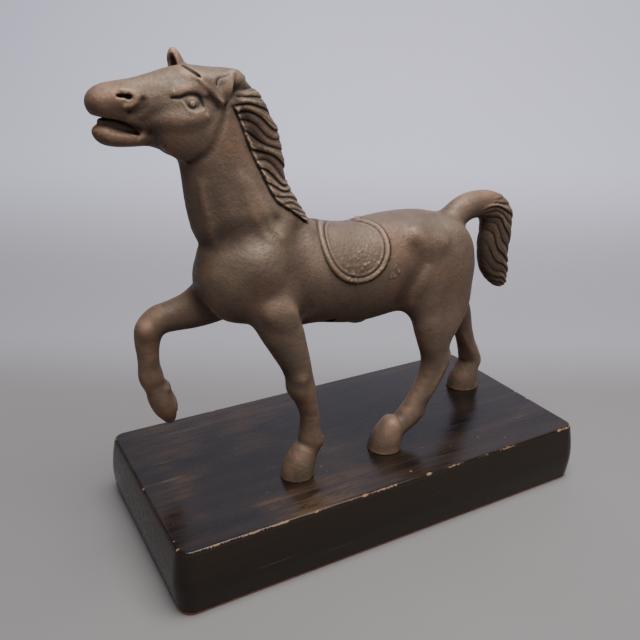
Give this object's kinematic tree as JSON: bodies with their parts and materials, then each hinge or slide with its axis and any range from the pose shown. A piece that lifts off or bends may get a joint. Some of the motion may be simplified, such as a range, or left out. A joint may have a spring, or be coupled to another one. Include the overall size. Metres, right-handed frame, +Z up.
{
  "type": "horse statue",
  "caption": "Bronze horse walking with one foreleg raised, arched tail and saddle cloth, bolted through its hooves to a dark wooden base board with a felt underside.",
  "frame": {"origin": "middle of the underside, on the surface that the statue stands on", "axes": "+X the way the horse faces, along the base board; +Y the horse's left; +Z up"},
  "size_m": [0.3143, 0.152, 0.3003],
  "materials": {
    "bronze": "dark brown patina, satin, rubbed reddish on the ridges",
    "stained_wood": "near-black stain under worn lacquer, chipped along the edges",
    "felt": "thin brick-red felt",
    "steel": "plain zinc-plated steel"
  },
  "bodies": {
    "root": {"body_casting": "bronze", "head_and_neck_casting": "bronze", "tail_casting": "bronze", "left_foreleg_casting": "bronze", "right_foreleg_casting": "bronze", "left_hindleg_casting": "bronze", "right_hindleg_casting": "bronze", "neck_joint_pin": "bronze", "tail_joint_pin": "bronze", "left_foreleg_joint_pin": "bronze", "right_foreleg_joint_pin": "bronze", "left_hindleg_joint_pin": "bronze", "right_hindleg_joint_pin": "bronze", "belly_core_plug": "bronze", "base_board": "stained_wood", "felt_sheet": "felt", "left_forehoof_stud": "steel", "left_forehoof_washer": "steel", "left_forehoof_nut": "steel", "left_hindhoof_stud": "steel", "left_hindhoof_washer": "steel", "left_hindhoof_nut": "steel", "right_hindhoof_stud": "steel", "right_hindhoof_washer": "steel", "right_hindhoof_nut": "steel"}
  },
  "joints": []
}
